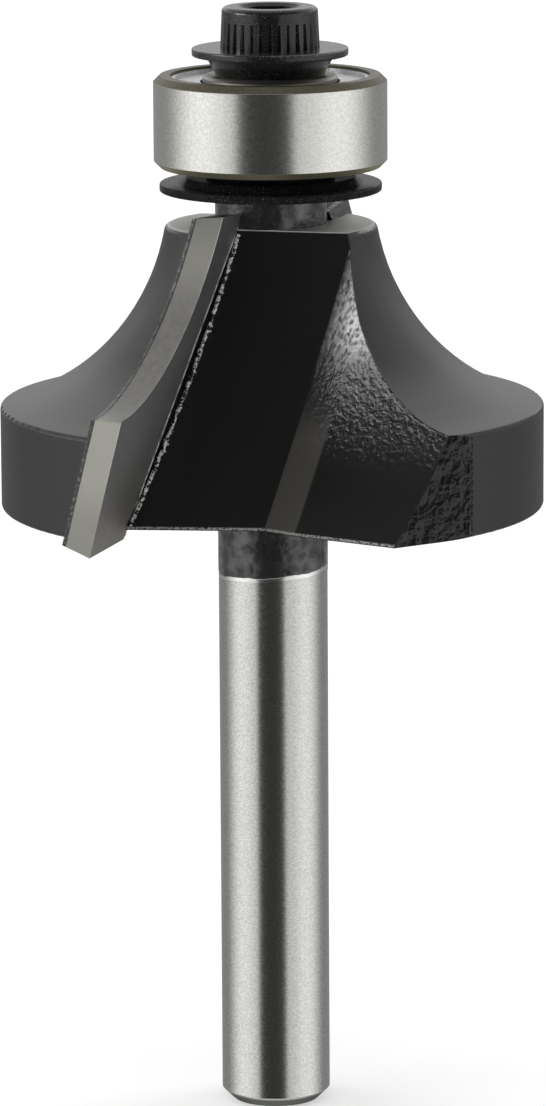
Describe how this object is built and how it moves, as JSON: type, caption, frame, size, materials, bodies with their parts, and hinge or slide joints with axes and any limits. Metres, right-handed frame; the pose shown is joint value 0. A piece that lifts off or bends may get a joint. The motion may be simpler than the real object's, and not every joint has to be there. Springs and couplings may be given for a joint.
{
  "type": "router bit",
  "caption": "Rounding-over router bit with carbide cutting edges, a plain shank and a shielded ball-bearing pilot that runs along the edge of the work.",
  "frame": {"origin": "centre of the shank's flat end, at the bottom of the bounding box", "axes": "+Z along the bit's axis from the shank's end to the pilot; the front gullet faces -Y"},
  "size_m": [0.0298, 0.0276, 0.061],
  "materials": {
    "body_coating": "black paint on the head and neck, over a shank of bare ground steel",
    "carbide": "ground tungsten carbide",
    "black_oxide": "black oxide, slightly rough",
    "bearing_steel": "ground and polished",
    "shield_steel": "bright pressed steel",
    "ball_steel": "polished",
    "cage_plastic": "moulded"
  },
  "bodies": {
    "cutter": {"cutter_body": "body_coating", "carbide_tip_front": "carbide", "carbide_tip_rear": "carbide", "lower_washer": "black_oxide", "bearing_inner_ring": "bearing_steel", "upper_washer": "black_oxide", "cap_screw": "black_oxide"},
    "outer_ring": {"bearing_outer_ring": "bearing_steel", "shield_top": "shield_steel", "shield_bottom": "shield_steel", "snap_ring_top": "shield_steel", "snap_ring_bottom": "shield_steel"},
    "cage": {"bearing_cage": "cage_plastic"},
    "ball_1": {"bearing_ball_1": "ball_steel"},
    "ball_2": {"bearing_ball_2": "ball_steel"},
    "ball_3": {"bearing_ball_3": "ball_steel"},
    "ball_4": {"bearing_ball_4": "ball_steel"},
    "ball_5": {"bearing_ball_5": "ball_steel"},
    "ball_6": {"bearing_ball_6": "ball_steel"},
    "ball_7": {"bearing_ball_7": "ball_steel"}
  },
  "joints": [
    {"name": "outer_ring_spin", "type": "hinge", "parent": "cutter", "child": "outer_ring", "pos_m": [0, 0, 0.05482], "axis": [0, 0, 1], "continuous": true},
    {"name": "cage_spin", "type": "hinge", "parent": "cutter", "child": "cage", "pos_m": [0, 0, 0.05482], "axis": [0, 0, 1], "continuous": true},
    {"name": "ball_1_spin", "type": "hinge", "parent": "cage", "child": "ball_1", "pos_m": [0.00422, 0, 0.05482], "axis": [0, 0, 1], "continuous": true},
    {"name": "ball_2_spin", "type": "hinge", "parent": "cage", "child": "ball_2", "pos_m": [0.00263, 0.0033, 0.05482], "axis": [0, 0, 1], "continuous": true},
    {"name": "ball_3_spin", "type": "hinge", "parent": "cage", "child": "ball_3", "pos_m": [-0.00094, 0.00411, 0.05482], "axis": [0, 0, 1], "continuous": true},
    {"name": "ball_4_spin", "type": "hinge", "parent": "cage", "child": "ball_4", "pos_m": [-0.0038, 0.00183, 0.05482], "axis": [0, 0, 1], "continuous": true},
    {"name": "ball_5_spin", "type": "hinge", "parent": "cage", "child": "ball_5", "pos_m": [-0.0038, -0.00183, 0.05482], "axis": [0, 0, 1], "continuous": true},
    {"name": "ball_6_spin", "type": "hinge", "parent": "cage", "child": "ball_6", "pos_m": [-0.00094, -0.00411, 0.05482], "axis": [0, 0, 1], "continuous": true},
    {"name": "ball_7_spin", "type": "hinge", "parent": "cage", "child": "ball_7", "pos_m": [0.00263, -0.0033, 0.05482], "axis": [0, 0, 1], "continuous": true}
  ],
  "couplings": [
    {"joint": "cage_spin", "follows": "outer_ring_spin", "ratio": 0.59408},
    {"joint": "ball_1_spin", "follows": "outer_ring_spin", "ratio": 2.5634},
    {"joint": "ball_2_spin", "follows": "outer_ring_spin", "ratio": 2.5634},
    {"joint": "ball_3_spin", "follows": "outer_ring_spin", "ratio": 2.5634},
    {"joint": "ball_4_spin", "follows": "outer_ring_spin", "ratio": 2.5634},
    {"joint": "ball_5_spin", "follows": "outer_ring_spin", "ratio": 2.5634},
    {"joint": "ball_6_spin", "follows": "outer_ring_spin", "ratio": 2.5634},
    {"joint": "ball_7_spin", "follows": "outer_ring_spin", "ratio": 2.5634}
  ]
}
